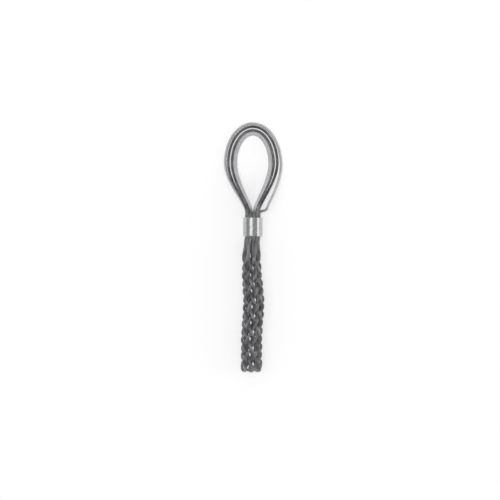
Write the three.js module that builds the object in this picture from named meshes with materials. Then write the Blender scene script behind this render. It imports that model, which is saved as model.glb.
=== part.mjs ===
// Wire mesh cable pulling grip: seven steel strands woven into a tube that tightens on a cable,
// a pressed ferrule, and the same strands carried on round a teardrop eye.
// It lies on its side as it comes to rest: +Y runs along it to the top of the eye, +Z is up.
// The origin is under the middle of its bounding box, on the surface that it lies on.

import * as THREE from "three";

// Driving dimensions, in millimetres
const strandDiameter = 2.7;
const strandGap = 0.22; // kept between strands that lie side by side or cross
const seatGap = 0.3; // between the strands and the bore of the ferrule
const endGap = 0.6; // between two strand ends that face each other in the ferrule

const ferruleLength = 19.0;
const ferruleWall = 1.6;
const ferruleEdge = 0.5; // chamfer on its rims

const meshDiameter = 22.0; // outside, over the crossings
const rowPitch = 8.0; // from one row of crossings to the next
const rowCount = 14; // rows of crossings in the mesh
const spreadStart = 5.8; // straight legs below the ferrule, before they begin to turn
const spreadReach = 26.0; // over which they reach their full turn
const swellStart = 8.0; // where the mesh begins to widen
const swellReach = 54.0; // over which it reaches its full diameter
const leanOffset = -1.3; // sideways step of the mesh just below the ferrule
const leanReach = 8.0;
const meshTurn = 0.16; // turn of the whole mesh below the ferrule, in steps from leg to leg
const meshTurnReach = 6.0;
const bowOffset = 2.2; // sideways bow in the length of the mesh
const bowPlace = 66.0;
const bowSpread = 22.0;
const tailLoopRadius = 2.2; // centre line of the hairpin that ends each strand

const eyeWidth = 58.2; // outside
const eyeHeight = 95.9; // from the ferrule to the outside of the crown
const crownHeight = 41.1; // from the widest level to the outside of the crown
const throatReach = 6.0; // of strands that stay together above the ferrule, before the limbs part
const throatTurn = 0.3; // turn of the strands half way up the throat, in steps from leg to leg
const splayReach = 8.0; // how gently the limbs part
const flankReach = 19.0; // how gently they turn into the crown
const settleReach = 55.0; // over which the strands come from their ring to where they lie in the eye
const sinkReach = 60.0; // over which the limbs come down to the surface
const slackOffset = 2.3; // how far the slack strand stands out of its place
const slackStart = 3.5; // where it turns out of the throat
const slackReach = 8.5; // over which it does
const slackFade = 80.0; // over which it comes back to its place

const sectionSides = 6;
const pointsPerRow = 3;
const tailArcSteps = 6;
const eyeStep = 6.5;
const eyeFineStep = 2.5;
const eyeFineReach = 15.0;
const ferruleFacets = 36;

// Where each strand lies in the eye, in strand pitches: out from the middle of the bundle, and up.
// place is its leg on the right of the ferrule, counted round from the outermost one.
const lays = [
  { name: "strand_1", place: 0, out: 2.2, up: -0.1, slack: true },
  { name: "strand_2", place: 1, out: 1.14, up: 0.5, slack: false },
  { name: "strand_3", place: 2, out: -0.18, up: 0.45, slack: false },
  { name: "strand_4", place: 3, out: -1.18, up: 0.42, slack: false },
  { name: "strand_5", place: -1, out: 1.14, up: -0.5, slack: false },
  { name: "strand_6", place: -2, out: -0.18, up: -0.55, slack: false },
  { name: "strand_7", place: -3, out: -1.5, up: -0.53, slack: false },
];

// What follows from them
const strandCount = lays.length;
const strandRadius = strandDiameter / 2;
const strandPitch = strandDiameter + strandGap;
const legAngle = Math.PI / strandCount; // between neighbouring legs in the ferrule
const ringRadius = strandPitch / (2 * Math.sin(legAngle / 2));
const boreRadius = ringRadius + strandRadius + seatGap;
const weaveDepth = strandPitch / 2; // how far a strand swings in and out to cross the next
const weaveRadius = meshDiameter / 2 - strandRadius - weaveDepth;

function easeIn(fraction) {
  return THREE.MathUtils.smoothstep(fraction, 0, 1);
}

// The ferrule's middle is at y = 0 until the finished grip is placed.
const ferruleTop = ferruleLength / 2;
const ferruleFoot = -ferruleLength / 2;

// Mesh. A place along it is either the distance below the ferrule or the row of crossings.
// Row 0 is the first, and the legs begin to turn half a row before it, side by side as in the ferrule.
const straightRow = -0.5;
const lastRow = rowCount - 1;

function depthOfRow(row) {
  const turned = (row - straightRow) * rowPitch;
  if (turned < spreadReach / 2) {
    return spreadStart + Math.sqrt(2 * spreadReach * Math.max(turned, 0));
  }
  return spreadStart + spreadReach / 2 + turned;
}

function meshAxisX(depth) {
  const fromBow = (depth - bowPlace) / bowSpread;
  return easeIn(depth / leanReach) * leanOffset + bowOffset * Math.exp(-fromBow * fromBow);
}

function meshRadiusAt(depth) {
  return ringRadius + (weaveRadius - ringRadius) * easeIn((depth - swellStart) / swellReach);
}

function onMesh(depth, angle, radius) {
  const turned = angle + meshTurn * legAngle * easeIn(depth / meshTurnReach);
  return new THREE.Vector3(
    meshAxisX(depth) + radius * Math.cos(turned),
    ferruleFoot - depth,
    radius * Math.sin(turned),
  );
}

// A strand lies flat over a crossing and passes quickly from outside to inside between two.
function weaveSwing(row) {
  const wave = Math.cos(Math.PI * row);
  return weaveDepth * wave * (1.5 - 0.5 * wave * wave);
}

// hand is 1 for a leg that turns one way round the mesh and -1 for one that turns the other way.
function legPoint(leg, row) {
  const depth = depthOfRow(row);
  const angle = leg.angle + leg.hand * legAngle * (row - straightRow);
  return onMesh(depth, angle, meshRadiusAt(depth) + leg.hand * weaveSwing(row));
}

function legInFerrule(leg, y) {
  return new THREE.Vector3(ringRadius * Math.cos(leg.angle), y, ringRadius * Math.sin(leg.angle));
}

// A leg from the foot of the ferrule to the last row of crossings.
function legRoute(leg) {
  const route = [legInFerrule(leg, ferruleFoot), legPoint(leg, straightRow)];
  const firstStep = Math.floor(straightRow * pointsPerRow) + 1;
  for (let step = firstStep; step <= lastRow * pointsPerRow; step++) {
    route.push(legPoint(leg, step / pointsPerRow));
  }
  return route;
}

// Tail. The two legs of a strand cross in the last row, then close in a round hairpin.
// across and along are measured from the crossing, on the unrolled mesh.
function tailRoute(angle, handFirst) {
  const depth = depthOfRow(lastRow);
  const radius = meshRadiusAt(depth);
  const slope = Math.atan((radius * legAngle) / rowPitch);
  const centre = tailLoopRadius / Math.sin(slope);
  const swing = weaveSwing(lastRow);
  const straight = tailLoopRadius / Math.tan(slope);
  const unrolled = [[straight * Math.sin(slope) / 2, straight * Math.cos(slope) / 2]];
  for (let step = 0; step <= tailArcSteps; step++) {
    const turn = -slope + ((Math.PI + 2 * slope) * step) / tailArcSteps;
    unrolled.push([tailLoopRadius * Math.cos(turn), centre + tailLoopRadius * Math.sin(turn)]);
  }
  unrolled.push([-unrolled[0][0], unrolled[0][1]]);
  return unrolled.map(([across, along], index) => {
    const share = (2 * (index + 1)) / (unrolled.length + 1) - 1;
    const inOrOut = -swing * Math.sin((Math.PI / 2) * share) * handFirst;
    return onMesh(depth + along, angle + (handFirst * across) / radius, radius + inOrOut);
  });
}

// Eye. The guide is the middle of the bundle: up one limb, over the crown, down the other.
const bundleReach = strandRadius + Math.max(...lays.map((lay) => lay.out)) * strandPitch;
const bundleDepth = strandRadius - Math.min(...lays.map((lay) => lay.up)) * strandPitch;
const eyeSink = meshDiameter / 2 - bundleDepth;
const guideHalfWidth = eyeWidth / 2 - bundleReach;
const guideFoot =
  (ringRadius * lays.reduce((sum, lay) => sum + Math.cos(lay.place * legAngle), 0)) / strandCount;
const widestY = ferruleTop + eyeHeight - crownHeight;

function eyeGuide() {
  const parting = ferruleTop + throatReach;
  const throat = (side) => [
    new THREE.Vector2(side * guideFoot, ferruleTop),
    new THREE.Vector2(side * guideFoot, parting),
  ];
  const limb = (side) => [
    new THREE.Vector2(side * guideFoot, parting),
    new THREE.Vector2(side * guideFoot, parting + splayReach),
    new THREE.Vector2(side * guideHalfWidth, widestY - flankReach),
    new THREE.Vector2(side * guideHalfWidth, widestY),
  ];
  const rise = crownHeight - bundleReach;
  const guide = new THREE.CurvePath();
  guide.add(new THREE.LineCurve(...throat(-1)));
  guide.add(new THREE.CubicBezierCurve(...limb(-1)));
  guide.add(new THREE.EllipseCurve(0, widestY, guideHalfWidth, rise, Math.PI, 0, true));
  guide.add(new THREE.CubicBezierCurve(...limb(1).reverse()));
  guide.add(new THREE.LineCurve(...throat(1).reverse()));
  return guide;
}

const guide = eyeGuide();
const guideLength = guide.getLength();

function eyeStations() {
  const stations = [];
  for (let reach = 0; reach < eyeFineReach; reach += eyeFineStep) {
    stations.push(reach);
  }
  const coarse = Math.ceil((guideLength - 2 * eyeFineReach) / eyeStep);
  for (let step = 0; step <= coarse; step++) {
    stations.push(eyeFineReach + ((guideLength - 2 * eyeFineReach) * step) / coarse);
  }
  for (let reach = eyeFineReach - eyeFineStep; reach >= 0; reach -= eyeFineStep) {
    stations.push(guideLength - reach);
  }
  return stations;
}

// How far the slack strand has turned out, where it is rise above the ferrule, and how far it stands off.
function slackTurn(rise) {
  return easeIn((rise - slackStart) / slackReach);
}

function slackAt(rise) {
  return slackOffset * slackTurn(rise) * (1 - easeIn((rise - slackReach) / slackFade));
}

// The strands turn a little together in the throat, and back again before the limbs part.
function throatTurnAt(rise) {
  const halfThroat = throatReach / 2;
  return throatTurn * legAngle * easeIn(1 - Math.abs(rise - halfThroat) / halfThroat);
}

// station is the distance along the guide from the ferrule, up the left limb.
function eyePoint(lay, legRight, station) {
  const onRight = station > guideLength / 2;
  const loose = lay.slack && onRight;
  const rise = onRight ? guideLength - station : station;
  const parted = rise - throatReach;
  const settled = loose ? slackTurn(rise) : easeIn(parted / settleReach);
  const slack = loose ? slackAt(rise) : 0;
  const turned = legRight + (onRight ? 1 : -1) * throatTurnAt(rise);
  const ringOut = ringRadius * Math.cos(turned) - guideFoot;
  const out = ringOut + (lay.out * strandPitch - ringOut) * settled + slack;
  const ringUp = ringRadius * Math.sin(turned);
  const up = ringUp + (lay.up * strandPitch - ringUp) * settled;
  const place = guide.getPoint(station / guideLength);
  const along = guide.getTangent(station / guideLength);
  return new THREE.Vector3(
    place.x - along.y * out,
    place.y + along.x * out,
    up - eyeSink * easeIn(parted / sinkReach),
  );
}

// Legs. The ferrule holds one ring of them, numbered round from the outermost one on the right.
// A strand of the eye joins two places in the ring, mirrored left to right.
// A hairpin at the tail joins two others.
const legs = Array.from({ length: 2 * strandCount }, (_, index) => ({
  index,
  angle: legAngle * index,
  hand: index % 2 === 0 ? 1 : -1,
}));

function wrapped(index) {
  const count = legs.length;
  return ((index % count) + count) % count;
}

function acrossEye(index) {
  return wrapped(strandCount - index);
}

function acrossTail(index) {
  return wrapped(index + legs[index].hand * (2 * rowCount - 1));
}

// Of the two places that an eye strand joins, one is where its own leg goes on into the mesh.
function legsThatGoThrough() {
  const through = new Set();
  const seen = new Set();
  for (const leg of legs) {
    let index = leg.index;
    while (!seen.has(index)) {
      seen.add(index);
      through.add(index);
      const far = acrossEye(index);
      seen.add(far);
      index = acrossTail(far);
    }
  }
  return through;
}

const through = legsThatGoThrough();

// From its end in the foot of the ferrule, down one leg, round the tail, up the other leg,
// through the ferrule, round the eye and back into the top of the ferrule.
function strandRoute(lay) {
  const rightIndex = wrapped(lay.place);
  const leftIndex = acrossEye(rightIndex);
  const startsRight = through.has(rightIndex);
  const own = legs[startsRight ? rightIndex : leftIndex];
  const other = legs[acrossTail(own.index)];
  const last = legs[startsRight ? leftIndex : rightIndex];
  const tailAngle = other.angle + other.hand * legAngle * (lastRow - straightRow);
  const stations = eyeStations();
  if (startsRight) {
    stations.reverse();
  }
  const eye = stations.map((station) => eyePoint(lay, legs[rightIndex].angle, station));
  return [
    legInFerrule(other, -endGap / 2),
    ...legRoute(other),
    ...tailRoute(tailAngle, other.hand),
    ...legRoute(own).reverse(),
    ...eye,
    legInFerrule(last, endGap / 2),
  ];
}

// A curve through its points whose equal steps fall on those points.
class Route extends THREE.CatmullRomCurve3 {
  getUtoTmapping(share) {
    return share;
  }
}

function strandGeometry(points) {
  const section = new THREE.Shape();
  section.absarc(0, 0, strandRadius, 0, 2 * Math.PI);
  return new THREE.ExtrudeGeometry(section, {
    steps: points.length - 1,
    curveSegments: sectionSides / 2,
    bevelEnabled: false,
    extrudePath: new Route(points),
  });
}

function ferruleGeometry() {
  const outer = boreRadius + ferruleWall;
  const profile = [
    [boreRadius, ferruleFoot],
    [outer - ferruleEdge, ferruleFoot],
    [outer, ferruleFoot + ferruleEdge],
    [outer, ferruleTop - ferruleEdge],
    [outer - ferruleEdge, ferruleTop],
    [boreRadius, ferruleTop],
    [boreRadius, ferruleFoot],
  ].map(([radius, y]) => new THREE.Vector2(radius, y));
  return new THREE.LatheGeometry(profile, ferruleFacets);
}

const strandFinish = { color: 0x8d9093, roughness: 0.42, metalness: 0.9 };
const ferruleFinish = { color: 0xc6c9cc, roughness: 0.2, metalness: 1.0 };

const grip = new THREE.Group();

lays.forEach((lay) => {
  const mesh = new THREE.Mesh(
    strandGeometry(strandRoute(lay)),
    new THREE.MeshStandardMaterial(strandFinish),
  );
  mesh.name = lay.name;
  grip.add(mesh);
});

const ferrule = new THREE.Mesh(ferruleGeometry(), new THREE.MeshStandardMaterial(ferruleFinish));
ferrule.name = "ferrule";
grip.add(ferrule);

const box = new THREE.Box3().setFromObject(grip, true);
const middle = box.getCenter(new THREE.Vector3());
grip.position.set(-middle.x, -middle.y, -box.min.z);

export default grip;
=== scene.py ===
import math

import bmesh
import bpy
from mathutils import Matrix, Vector


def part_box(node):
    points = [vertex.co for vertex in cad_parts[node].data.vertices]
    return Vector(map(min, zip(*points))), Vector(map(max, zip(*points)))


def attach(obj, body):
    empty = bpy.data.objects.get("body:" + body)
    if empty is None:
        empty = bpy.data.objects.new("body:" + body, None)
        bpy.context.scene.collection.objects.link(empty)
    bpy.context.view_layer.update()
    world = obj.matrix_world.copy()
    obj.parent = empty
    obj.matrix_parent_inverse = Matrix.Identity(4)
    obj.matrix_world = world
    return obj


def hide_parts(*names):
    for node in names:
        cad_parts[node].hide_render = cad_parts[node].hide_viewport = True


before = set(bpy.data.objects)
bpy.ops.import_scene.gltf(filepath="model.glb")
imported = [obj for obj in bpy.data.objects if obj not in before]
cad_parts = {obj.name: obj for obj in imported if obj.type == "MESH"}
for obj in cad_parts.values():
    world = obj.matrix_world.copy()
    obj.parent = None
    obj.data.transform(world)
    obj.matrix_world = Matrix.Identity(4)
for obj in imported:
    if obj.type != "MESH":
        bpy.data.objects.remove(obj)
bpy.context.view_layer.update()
print("frame loaded:", len(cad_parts), "nodes")

mm = 0.001
ferruleLow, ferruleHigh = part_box("ferrule")
ferruleCentre = (Vector(ferruleLow) + Vector(ferruleHigh)) / 2

# Lengths in millimetres, measured from the middle of the ferrule
strands = {
    "diameter": 2.7,
    "gap": 0.22,
    "wires": 6,  # round one straight core wire
    "wireSides": 2,  # bevel resolution of one wire
    "layLength": 21.0,  # for one turn of the wires
    "step": 1.3,
    "endGap": 0.6,
    "seat": 3.0,  # straight run inside each rim of the ferrule
    "straightOver": 4.0,  # two points of a route farther apart than this are joined by a straight run
    "curveParts": 8,  # between two points of a route
}
mesh = {
    "diameter": 22.0,
    "rowPitch": 8.0,
    "rows": 14,
    "spreadStart": 5.8,
    "spreadReach": 26.0,
    "swellStart": 8.0,
    "swellReach": 54.0,
    "leanOffset": -1.3,
    "leanReach": 8.0,
    "turn": 0.16,
    "turnReach": 6.0,
    "bowOffset": 2.2,
    "bowPlace": 66.0,
    "bowSpread": 22.0,
    "tailRadius": 2.2,
    "pointsPerRow": 6,
    "tailParts": (0.33, 0.66),  # shares of the straight run before the hairpin
    "tailSteps": 20,
}
eye = {
    "width": 58.2,
    "height": 95.9,
    "crownHeight": 41.1,
    "throatReach": 6.0,
    "throatTurn": 0.3,
    "splayReach": 8.0,
    "flankReach": 19.0,
    "settleReach": 55.0,
    "sinkReach": 60.0,
    "slackOffset": 2.3,
    "slackStart": 3.5,
    "slackReach": 8.5,
    "slackFade": 80.0,
    "step": 2.0,
    "limbSteps": 120,
    "crownSteps": 240,
}
# out and up are in strand pitches, and place is the strand's leg on the right
# tone is the colour painted on the strand in the eye: clean is painted light for the floor it reflects,
# dull and mid are painted shade
lays = [
    {"name": "strand_1", "place": 0, "out": 2.2, "up": -0.1, "slack": True, "tone": "painted_light"},
    {"name": "strand_2", "place": 1, "out": 1.14, "up": 0.5, "slack": False, "tone": "painted_shade"},
    {"name": "strand_3", "place": 2, "out": -0.18, "up": 0.45, "slack": False, "tone": "mid"},
    {"name": "strand_4", "place": 3, "out": -1.18, "up": 0.42, "slack": False, "tone": "painted_light"},
    {"name": "strand_5", "place": -1, "out": 1.14, "up": -0.5, "slack": False, "tone": "painted_shade"},
    {"name": "strand_6", "place": -2, "out": -0.18, "up": -0.55, "slack": False, "tone": "painted_shade"},
    {"name": "strand_7", "place": -3, "out": -1.5, "up": -0.53, "slack": False, "tone": "painted_light"},
]

count = len(lays)
strandRadius = strands["diameter"] / 2
wireRadius = strandRadius / 3  # three wires lie side by side across a strand
strandPitch = strands["diameter"] + strands["gap"]
legAngle = math.pi / count
ringRadius = strandPitch / (2 * math.sin(legAngle / 2))
weaveDepth = strandPitch / 2
weaveRadius = mesh["diameter"] / 2 - strandRadius - weaveDepth
ferruleTop = (ferruleHigh[1] - ferruleLow[1]) / (2 * mm)
ferruleFoot = -ferruleTop


def easeIn(share):
    share = min(max(share, 0.0), 1.0)
    return share * share * (3 - 2 * share)


# The mesh: legs that wind both ways round a tube, in and out of each other

def depthOfRow(row):
    turned = (row + 0.5) * mesh["rowPitch"]
    if turned < mesh["spreadReach"] / 2:
        return mesh["spreadStart"] + math.sqrt(2 * mesh["spreadReach"] * max(turned, 0))
    return mesh["spreadStart"] + mesh["spreadReach"] / 2 + turned


def meshRadiusAt(depth):
    swell = easeIn((depth - mesh["swellStart"]) / mesh["swellReach"])
    return ringRadius + (weaveRadius - ringRadius) * swell


def onMesh(depth, angle, radius):
    fromBow = (depth - mesh["bowPlace"]) / mesh["bowSpread"]
    lean = easeIn(depth / mesh["leanReach"]) * mesh["leanOffset"]
    axisX = lean + mesh["bowOffset"] * math.exp(-fromBow ** 2)
    turned = angle + mesh["turn"] * legAngle * easeIn(depth / mesh["turnReach"])
    return Vector((axisX + radius * math.cos(turned), ferruleFoot - depth, radius * math.sin(turned)))


def legPoint(leg, row):
    wave = math.cos(math.pi * row)
    swing = weaveDepth * wave * (1.5 - 0.5 * wave * wave)
    depth = depthOfRow(row)
    angle = leg["angle"] + leg["hand"] * legAngle * (row + 0.5)
    return onMesh(depth, angle, meshRadiusAt(depth) + leg["hand"] * swing)


def legInFerrule(leg, y):
    return Vector((ringRadius * math.cos(leg["angle"]), y, ringRadius * math.sin(leg["angle"])))


def legRoute(leg):
    firstStep = -mesh["pointsPerRow"] // 2
    lastStep = (mesh["rows"] - 1) * mesh["pointsPerRow"]
    route = [legInFerrule(leg, ferruleFoot + strands["seat"]), legInFerrule(leg, ferruleFoot)]
    return route + [legPoint(leg, step / mesh["pointsPerRow"]) for step in range(firstStep, lastStep + 1)]


def tailRoute(angle, firstHand):
    depth = depthOfRow(mesh["rows"] - 1)
    radius = meshRadiusAt(depth)
    slope = math.atan(radius * legAngle / mesh["rowPitch"])
    tailRadius = mesh["tailRadius"]
    straight = tailRadius / math.tan(slope)
    swing = math.cos(math.pi * (mesh["rows"] - 1)) * weaveDepth
    unrolled = []
    for part in mesh["tailParts"]:
        unrolled.append((straight * part * math.sin(slope), straight * part * math.cos(slope)))
    arc = []
    for step in range(mesh["tailSteps"] + 1):
        turn = -slope + (math.pi + 2 * slope) * step / mesh["tailSteps"]
        along = tailRadius / math.sin(slope) + tailRadius * math.sin(turn)
        arc.append((tailRadius * math.cos(turn), along))
    unrolled = unrolled + arc + [(-across, along) for across, along in reversed(unrolled)]
    points = []
    for index, (across, along) in enumerate(unrolled):
        share = 2 * (index + 1) / (len(unrolled) + 1) - 1
        inOrOut = -swing * math.sin(math.pi / 2 * share) * firstHand
        points.append(onMesh(depth + along, angle + firstHand * across / radius, radius + inOrOut))
    return points


# The eye: one guide through the middle of the bundle, and a place beside it for each strand

bundleReach = strandRadius + max(lay["out"] for lay in lays) * strandPitch
bundleDepth = strandRadius - min(lay["up"] for lay in lays) * strandPitch
eyeSink = mesh["diameter"] / 2 - bundleDepth
guideHalf = eye["width"] / 2 - bundleReach
guideFoot = ringRadius * sum(math.cos(lay["place"] * legAngle) for lay in lays) / count
widestY = ferruleTop + eye["height"] - eye["crownHeight"]


def leftLimb():
    foot = Vector((-guideFoot, ferruleTop + eye["throatReach"]))
    footHandle = Vector((-guideFoot, foot.y + eye["splayReach"]))
    flankHandle = Vector((-guideHalf, widestY - eye["flankReach"]))
    flank = Vector((-guideHalf, widestY))
    points = [Vector((-guideFoot, ferruleTop))]
    for step in range(eye["limbSteps"] + 1):
        t = step / eye["limbSteps"]
        s = 1 - t
        nearFoot = foot * s ** 3 + footHandle * 3 * s * s * t
        points.append(nearFoot + flankHandle * 3 * s * t * t + flank * t ** 3)
    return points


def guidePoints():
    limb = leftLimb()
    tall = eye["crownHeight"] - bundleReach
    crown = []
    for step in range(1, eye["crownSteps"]):
        turn = math.pi - math.pi * step / eye["crownSteps"]
        crown.append(Vector((guideHalf * math.cos(turn), widestY + tall * math.sin(turn))))
    return limb + crown + [Vector((-point.x, point.y)) for point in reversed(limb)]


guide = guidePoints()
guideReach = [0.0]
for before, after in zip(guide, guide[1:]):
    guideReach.append(guideReach[-1] + (after - before).length)
guideLength = guideReach[-1]


def onGuide(station):
    station = min(max(station, 0.0), guideLength)
    index = 0
    while guideReach[index + 1] < station and index < len(guide) - 2:
        index += 1
    share = (station - guideReach[index]) / (guideReach[index + 1] - guideReach[index])
    around = guide[min(index + 2, len(guide) - 1)] - guide[max(index - 1, 0)]
    return guide[index].lerp(guide[index + 1], share), around.normalized()


def eyePoint(lay, legRight, station):
    onRight = station > guideLength / 2
    rise = guideLength - station if onRight else station
    parted = rise - eye["throatReach"]
    loose = lay["slack"] and onRight
    settled = easeIn(parted / eye["settleReach"])
    slack = 0.0
    if loose:
        settled = easeIn((rise - eye["slackStart"]) / eye["slackReach"])
        slack = eye["slackOffset"] * settled * (1 - easeIn((rise - eye["slackReach"]) / eye["slackFade"]))
    halfThroat = eye["throatReach"] / 2
    turned = eye["throatTurn"] * legAngle * easeIn(1 - abs(rise - halfThroat) / halfThroat)
    turned = legRight + (turned if onRight else -turned)
    ringOut = ringRadius * math.cos(turned) - guideFoot
    ringUp = ringRadius * math.sin(turned)
    out = ringOut + (lay["out"] * strandPitch - ringOut) * settled + slack
    up = ringUp + (lay["up"] * strandPitch - ringUp) * settled
    place, along = onGuide(station)
    sunk = eyeSink * easeIn(parted / eye["sinkReach"])
    return Vector((place.x - along.y * out, place.y + along.x * out, up - sunk))


# The ring of legs in the ferrule, and what joins them two by two

legs = [{"index": i, "angle": legAngle * i, "hand": 1 if i % 2 == 0 else -1} for i in range(2 * count)]


def acrossEye(index):
    return (count - index) % len(legs)


def acrossTail(index):
    return (index + legs[index]["hand"] * (2 * mesh["rows"] - 1)) % len(legs)


def legsThatGoThrough():
    goThrough, seen = set(), set()
    for leg in legs:
        index = leg["index"]
        while index not in seen:
            far = acrossEye(index)
            goThrough.add(index)
            seen.update((index, far))
            index = acrossTail(far)
    return goThrough


goThrough = legsThatGoThrough()


def strandRoute(lay):
    right = lay["place"] % len(legs)
    left = acrossEye(right)
    startsRight = right in goThrough
    own = legs[right if startsRight else left]
    last = legs[left if startsRight else right]
    other = legs[acrossTail(own["index"])]
    tailAngle = other["angle"] + other["hand"] * legAngle * (mesh["rows"] - 0.5)
    steps = round(guideLength / eye["step"])
    stations = [guideLength * step / steps for step in range(steps + 1)]
    if startsRight:
        stations.reverse()
    half = strands["endGap"] / 2
    seatTop = ferruleTop - strands["seat"]
    route = [legInFerrule(other, -half)] + legRoute(other) + tailRoute(tailAngle, other["hand"])
    route += list(reversed(legRoute(own))) + [legInFerrule(own, 0), legInFerrule(own, seatTop)]
    route += [eyePoint(lay, legs[right]["angle"], station) for station in stations]
    return route + [legInFerrule(last, seatTop), legInFerrule(last, half)]


# A smooth curve from b to c, with a before them and d after them
def catmull(a, b, c, d, t):
    square = (2 * a - 5 * b + 4 * c - d) * t * t
    cube = (3 * b - a - 3 * c + d) * t ** 3
    return 0.5 * (2 * b + (c - a) * t + square + cube)


def evenly(points, step):
    fine = []
    parts = strands["curveParts"]
    for index in range(len(points) - 1):
        a, b = points[max(index - 1, 0)], points[index]
        c, d = points[index + 1], points[min(index + 2, len(points) - 1)]
        straight = (c - b).length > strands["straightOver"]
        for part in range(parts):
            fine.append(b.lerp(c, part / parts) if straight else catmull(a, b, c, d, part / parts))
    fine.append(points[-1])
    reach = [0.0]
    for before, after in zip(fine, fine[1:]):
        reach.append(reach[-1] + (after - before).length)
    number = round(reach[-1] / step)
    even, index = [], 0
    for place in range(number + 1):
        target = reach[-1] * place / number
        while index < len(fine) - 2 and reach[index + 1] < target:
            index += 1
        share = (target - reach[index]) / max(reach[index + 1] - reach[index], 1e-9)
        even.append(fine[index].lerp(fine[index + 1], share))
    return even


def turningFrames(points):
    frames, side = [], None
    for index, point in enumerate(points):
        along = (points[min(index + 1, len(points) - 1)] - points[max(index - 1, 0)]).normalized()
        if side is None:
            side = along.orthogonal().normalized()
        side = (side - along * side.dot(along)).normalized()
        frames.append((along, side, along.cross(side)))
    return frames


# Materials: metal that reads Object coordinates, with its colour uneven at the scale of the real finish

def shaderNodes(name):
    material = bpy.data.materials.new(name)
    material.use_nodes = True
    nodes, links = material.node_tree.nodes, material.node_tree.links
    return material, nodes, links, nodes["Principled BSDF"]


def noiseNode(nodes, links, coordinates, scale, detail, stretch=None):
    noise = nodes.new("ShaderNodeTexNoise")
    noise.inputs["Scale"].default_value = scale
    noise.inputs["Detail"].default_value = detail
    if stretch:
        mapping = nodes.new("ShaderNodeMapping")
        mapping.inputs["Scale"].default_value = stretch
        links.new(coordinates, mapping.inputs["Vector"])
        coordinates = mapping.outputs["Vector"]
    links.new(coordinates, noise.inputs["Vector"])
    return noise


def rampNode(nodes, links, factor, stops):
    ramp = nodes.new("ShaderNodeValToRGB")
    elements = ramp.color_ramp.elements
    while len(elements) < len(stops):
        elements.new(0.5)
    for element, (place, shade) in zip(elements, stops):
        element.position = place
        colour = shade if isinstance(shade, tuple) else (shade,) * 3
        element.color = (*colour, 1)
    links.new(factor, ramp.inputs["Fac"])
    return ramp


# Up to the throat every strand has the mesh tone. In the eye each strand has a tone of painted light or
# shade:
# clean is painted light for the white floor reflected on the outer and inner strands, and dull and mid are
# painted shade for strands shaded by their neighbours. Each tone has three shades, for the patches in its
# finish.
strandFinishAndPaintedLight = {
    "mesh": {"shades": (0.25, 0.39, 0.57), "metallic": 0.65, "gloss": (0.38, 0.58)},
    # dull, mid and clean are painted shade, painted half shade and painted light, set by how light falls on
    # each strand of the eye
    "painted_shade": {"shades": (0.15, 0.25, 0.38), "metallic": 0.85, "gloss": (0.28, 0.45)},
    "mid": {"shades": (0.16, 0.30, 0.46), "metallic": 0.75, "gloss": (0.28, 0.45)},
    "painted_light": {"shades": (0.84, 0.92, 0.97), "metallic": 0.12, "gloss": (0.30, 0.45)},
    "stops": (0.32, 0.52, 0.70),
    "blue": 1.03,  # of the zinc
    "patches": (110.0, 5.0),  # scale and detail
    "grain": (1600.0, 3.0),
    "grainStops": (0.3, 0.7),
    "grainDepth": 0.00006,
    "grainStrength": 0.25,
    "throatRise": (0.005, 0.013),  # above the ferrule, where the eye's painted light and shade take over
}


def toneSockets(nodes, links, tone, patches, grain):
    shades = [(shade, shade, shade * strandFinishAndPaintedLight["blue"]) for shade in tone["shades"]]
    colour = rampNode(nodes, links, patches, list(zip(strandFinishAndPaintedLight["stops"], shades)))
    gloss = rampNode(nodes, links, grain, list(zip(strandFinishAndPaintedLight["grainStops"], tone["gloss"])))
    metal = nodes.new("ShaderNodeValue")
    metal.outputs[0].default_value = tone["metallic"]
    return colour.outputs["Color"], gloss.outputs["Color"], metal.outputs[0]


def mixed(nodes, links, share, first, second):
    mix = nodes.new("ShaderNodeMix")
    mix.data_type = "RGBA"
    links.new(share, mix.inputs["Factor"])
    ends = [socket for socket in mix.inputs if socket.type == "RGBA"]
    links.new(first, ends[0])
    links.new(second, ends[1])
    return [socket for socket in mix.outputs if socket.type == "RGBA"][0]


def strandMaterial(toneName):
    material, nodes, links, shader = shaderNodes("zinc coated wire, " + toneName)
    coordinates = nodes.new("ShaderNodeTexCoord").outputs["Object"]
    patches = noiseNode(nodes, links, coordinates, *strandFinishAndPaintedLight["patches"]).outputs["Fac"]
    grain = noiseNode(nodes, links, coordinates, *strandFinishAndPaintedLight["grain"]).outputs["Fac"]
    place = nodes.new("ShaderNodeSeparateXYZ")
    links.new(coordinates, place.inputs[0])
    # From 5 to 13 mm above the ferrule the colour passes from the mesh tone to the strand's tone in the
    # eye, which is painted light or painted shade
    rise = nodes.new("ShaderNodeMapRange")
    rise.interpolation_type = "SMOOTHSTEP"
    rise.inputs["From Min"].default_value = ferruleHigh[1] + strandFinishAndPaintedLight["throatRise"][0]
    rise.inputs["From Max"].default_value = ferruleHigh[1] + strandFinishAndPaintedLight["throatRise"][1]
    links.new(place.outputs["Y"], rise.inputs["Value"])
    inMesh = toneSockets(nodes, links, strandFinishAndPaintedLight["mesh"], patches, grain)
    inEye = toneSockets(nodes, links, strandFinishAndPaintedLight[toneName], patches, grain)
    for name, first, second in zip(("Base Color", "Roughness", "Metallic"), inMesh, inEye):
        links.new(mixed(nodes, links, rise.outputs["Result"], first, second), shader.inputs[name])
    bump = nodes.new("ShaderNodeBump")
    bump.inputs["Strength"].default_value = strandFinishAndPaintedLight["grainStrength"]
    bump.inputs["Distance"].default_value = strandFinishAndPaintedLight["grainDepth"]
    links.new(grain, bump.inputs["Height"])
    links.new(bump.outputs["Normal"], shader.inputs["Normal"])
    return material


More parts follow.
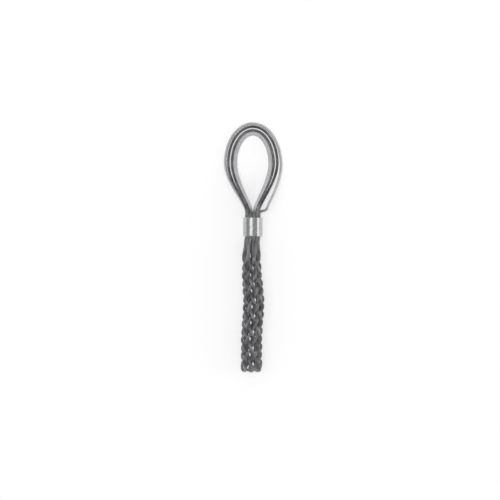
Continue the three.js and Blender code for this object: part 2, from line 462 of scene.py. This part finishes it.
ferruleFinish = {
    "shade": (0.44, 0.443, 0.448),
    "bright": (0.56, 0.564, 0.57),
    "scuffs": (1.0, 5.0),  # scale and detail
    "scuffStretch": (900.0, 60.0, 900.0),  # finer across the ferrule than along it
    "scuffStops": (0.3, 0.75),
    "gloss": (0.20, 0.28),
    "clouds": (240.0, 4.0),
    "cloudStops": (0.3, 0.65),
    "bumpStrength": 0.04,
    "bumpDepth": 0.00005,
    "metallic": 1.0,
}


def ferruleMaterial():
    material, nodes, links, shader = shaderNodes("polished ferrule")
    coordinates = nodes.new("ShaderNodeTexCoord").outputs["Object"]
    drawn = noiseNode(nodes, links, coordinates, *ferruleFinish["scuffs"], ferruleFinish["scuffStretch"])
    clouds = noiseNode(nodes, links, coordinates, *ferruleFinish["clouds"])
    shades = (ferruleFinish["shade"], ferruleFinish["bright"])
    tone = rampNode(nodes, links, clouds.outputs["Fac"], list(zip(ferruleFinish["cloudStops"], shades)))
    links.new(tone.outputs["Color"], shader.inputs["Base Color"])
    glossStops = list(zip(ferruleFinish["scuffStops"], ferruleFinish["gloss"]))
    gloss = rampNode(nodes, links, drawn.outputs["Fac"], glossStops)
    links.new(gloss.outputs["Color"], shader.inputs["Roughness"])
    bump = nodes.new("ShaderNodeBump")
    bump.inputs["Strength"].default_value = ferruleFinish["bumpStrength"]
    bump.inputs["Distance"].default_value = ferruleFinish["bumpDepth"]
    links.new(drawn.outputs["Fac"], bump.inputs["Height"])
    links.new(bump.outputs["Normal"], shader.inputs["Normal"])
    shader.inputs["Metallic"].default_value = ferruleFinish["metallic"]
    return material


# Strands, each a core wire with six more laid round it

def strandObject(lay, material):
    points = evenly(strandRoute(lay), strands["step"])
    frames = turningFrames(points)
    curve = bpy.data.curves.new(lay["name"] + "_wires", "CURVE")
    curve.dimensions = "3D"
    curve.bevel_depth = wireRadius * mm
    curve.bevel_resolution = strands["wireSides"] - 1
    curve.use_fill_caps = True
    for wire in range(strands["wires"] + 1):
        spline = curve.splines.new("POLY")
        spline.points.add(len(points) - 1)
        for index, (point, (along, side, over)) in enumerate(zip(points, frames)):
            turn = 2 * math.pi * (index * strands["step"] / strands["layLength"] + wire / strands["wires"])
            offset = side * math.cos(turn) + over * math.sin(turn)
            reach = 0 if wire == strands["wires"] else 2 * wireRadius
            place = ferruleCentre + (point + offset * reach) * mm
            spline.points[index].co = (place.x, place.y, place.z, 1)
    holder = bpy.data.objects.new(lay["name"] + "_curve", curve)
    bpy.context.scene.collection.objects.link(holder)
    made = bpy.data.meshes.new_from_object(holder.evaluated_get(bpy.context.evaluated_depsgraph_get()))
    bpy.data.objects.remove(holder)
    made.materials.clear()
    made.materials.append(material)
    made.shade_smooth()
    piece = bpy.data.objects.new(lay["name"] + "_laid_wires", made)
    bpy.context.scene.collection.objects.link(piece)
    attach(piece, "root")
    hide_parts(lay["name"])
    return piece


# One material for each tone in the eye: painted shade (dull, mid) and painted light (clean)
wireMaterials = {tone: strandMaterial(tone) for tone in ("painted_shade", "mid", "painted_light")}
for lay in lays:
    piece = strandObject(lay, wireMaterials[lay["tone"]])
    print("strand:", piece.name, len(piece.data.polygons), "faces")


# Ferrule: a tube pressed on the strands, its rims rolled and its wall a little uneven from the press

ferrule = {
    "wall": 1.6,
    "rim": 0.5,
    "rimSteps": 5,
    "turns": 160,
    "lengthRows": 40,
    "pressDepth": 0.04,
    "pressFlats": 7,
    "pressTurn": 0.6,
    "pressTwist": 18.0,  # radians in a metre of its length
    "boreMargin": 0.1,
}


def ferruleObject():
    outer = (ferruleHigh[0] - ferruleLow[0]) / (2 * mm)
    bore = outer - ferrule["wall"]
    rim = ferrule["rim"]
    build = bmesh.new()
    corners = [(bore, ferruleFoot + rim), (bore, ferruleTop - rim)]
    for centreX, centreY, begin in (
        (outer - rim, ferruleTop - rim, 90),
        (outer - rim, ferruleFoot + rim, 0),
    ):
        for step in range(ferrule["rimSteps"] + 1):
            turn = math.radians(begin - 90 * step / ferrule["rimSteps"])
            corners.append((centreX + rim * math.cos(turn), centreY + rim * math.sin(turn)))
        if begin == 90:
            for row in range(1, ferrule["lengthRows"]):
                share = row / ferrule["lengthRows"]
                corners.append((outer, ferruleTop - rim - (2 * ferruleTop - 2 * rim) * share))
    verts = [build.verts.new((x * mm, y * mm, 0)) for x, y in corners]
    edges = [build.edges.new((verts[i], verts[(i + 1) % len(verts)])) for i in range(len(verts))]
    bmesh.ops.spin(build, geom=verts + edges, cent=(0, 0, 0), axis=(0, 1, 0), angle=2 * math.pi,
                   steps=ferrule["turns"], use_merge=True)
    for vert in build.verts:
        across = math.hypot(vert.co.x, vert.co.z)
        if across < (bore + ferrule["boreMargin"]) * mm:
            continue
        turn = math.atan2(vert.co.z, vert.co.x)
        twist = ferrule["pressTurn"] + ferrule["pressTwist"] * vert.co.y
        press = 0.5 + 0.5 * math.cos(ferrule["pressFlats"] * turn + twist)
        pull = 1 - ferrule["pressDepth"] * mm * press / across
        vert.co.x *= pull
        vert.co.z *= pull
    bmesh.ops.translate(build, vec=ferruleCentre, verts=build.verts)
    bmesh.ops.recalc_face_normals(build, faces=build.faces)
    made = bpy.data.meshes.new("ferrule_sleeve")
    build.to_mesh(made)
    build.free()
    made.materials.append(ferruleMaterial())
    made.shade_smooth()
    sleeve = bpy.data.objects.new("ferrule_sleeve", made)
    bpy.context.scene.collection.objects.link(sleeve)
    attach(sleeve, "root")
    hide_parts("ferrule")
    return sleeve


sleeve = ferruleObject()
print("ferrule:", len(sleeve.data.polygons), "faces")


# Floor, light and camera

studio = {
    "floorSize": 6.0,
    "floorShade": 0.8,
    "floorGlow": 0.56,
    "keyPower": 6.8,
    "keySize": 1.3,
    "keyPlace": (-0.85, 0.25, 2.45),
    "fillPower": 4.2,
    "fillSize": 1.0,
    "fillPlace": (2.1, 0.02, 0.9),
    "worldStrength": 1.0,
    "worldShades": ((0.0, 1.0), (0.08, 0.85), (0.22, 0.44), (0.6, 0.40), (0.9, 0.46)),  # by height
    "cameraHeight": 2.0,
    "sensorWidth": 36.0,
    "farthest": 20.0,
    "frameWidth": 0.5,  # what the picture spans at the grip's level
    "frameOffset": (-0.0028, -0.023),  # from the ferrule to the middle of the picture
}


def showsDirectly(nodes, links):
    path = nodes.new("ShaderNodeLightPath")
    most = nodes.new("ShaderNodeMath")
    most.operation = "MAXIMUM"
    links.new(path.outputs["Is Camera Ray"], most.inputs[0])
    links.new(path.outputs["Is Glossy Ray"], most.inputs[1])
    both = nodes.new("ShaderNodeMath")
    both.operation = "MAXIMUM"
    links.new(most.outputs[0], both.inputs[0])
    links.new(path.outputs["Is Transmission Ray"], both.inputs[1])
    return both.outputs[0]


def addFloor():
    build = bmesh.new()
    bmesh.ops.create_grid(build, x_segments=1, y_segments=1, size=studio["floorSize"] / 2)
    made = bpy.data.meshes.new("floor")
    build.to_mesh(made)
    build.free()
    floor = bpy.data.objects.new("floor", made)
    bpy.context.scene.collection.objects.link(floor)
    material = bpy.data.materials.new("pale floor")
    material.use_nodes = True
    nodes, links = material.node_tree.nodes, material.node_tree.links
    nodes.clear()
    diffuse = nodes.new("ShaderNodeBsdfDiffuse")
    diffuse.inputs["Color"].default_value = (studio["floorShade"],) * 3 + (1,)
    glow = nodes.new("ShaderNodeEmission")
    strength = nodes.new("ShaderNodeMath")
    strength.operation = "MULTIPLY"
    strength.inputs[1].default_value = studio["floorGlow"]
    links.new(showsDirectly(nodes, links), strength.inputs[0])
    links.new(strength.outputs[0], glow.inputs["Strength"])
    both = nodes.new("ShaderNodeAddShader")
    links.new(diffuse.outputs[0], both.inputs[0])
    links.new(glow.outputs[0], both.inputs[1])
    output = nodes.new("ShaderNodeOutputMaterial")
    links.new(both.outputs[0], output.inputs["Surface"])
    made.materials.append(material)


def addLamp(name, power, size, place):
    data = bpy.data.lights.new(name, "AREA")
    data.energy = power
    data.size = size
    lamp = bpy.data.objects.new(name, data)
    lamp.location = place
    lamp.rotation_euler = (-Vector(place)).to_track_quat("-Z", "Y").to_euler()
    bpy.context.scene.collection.objects.link(lamp)


def addWorld():
    world = bpy.data.worlds.new("studio")
    bpy.context.scene.world = world
    world.use_nodes = True
    nodes, links = world.node_tree.nodes, world.node_tree.links
    background = nodes["Background"]
    split = nodes.new("ShaderNodeSeparateXYZ")
    links.new(nodes.new("ShaderNodeTexCoord").outputs["Generated"], split.inputs[0])
    room = rampNode(nodes, links, split.outputs["Z"], studio["worldShades"])
    links.new(room.outputs["Color"], background.inputs["Color"])
    background.inputs["Strength"].default_value = studio["worldStrength"]


def addCamera():
    data = bpy.data.cameras.new("camera")
    data.sensor_width = studio["sensorWidth"]
    data.lens = data.sensor_width * studio["cameraHeight"] / studio["frameWidth"]
    data.clip_end = studio["farthest"]
    camera = bpy.data.objects.new("camera", data)
    offsetX, offsetY = studio["frameOffset"]
    level = ferruleCentre.z
    camera.location = (ferruleCentre.x + offsetX, ferruleCentre.y + offsetY, level + studio["cameraHeight"])
    bpy.context.scene.collection.objects.link(camera)
    bpy.context.scene.camera = camera


addFloor()
addLamp("key", studio["keyPower"], studio["keySize"], studio["keyPlace"])
addLamp("fill", studio["fillPower"], studio["fillSize"], studio["fillPlace"])
addWorld()
addCamera()
bpy.context.scene.view_settings.view_transform = "Standard"
print("studio ready")
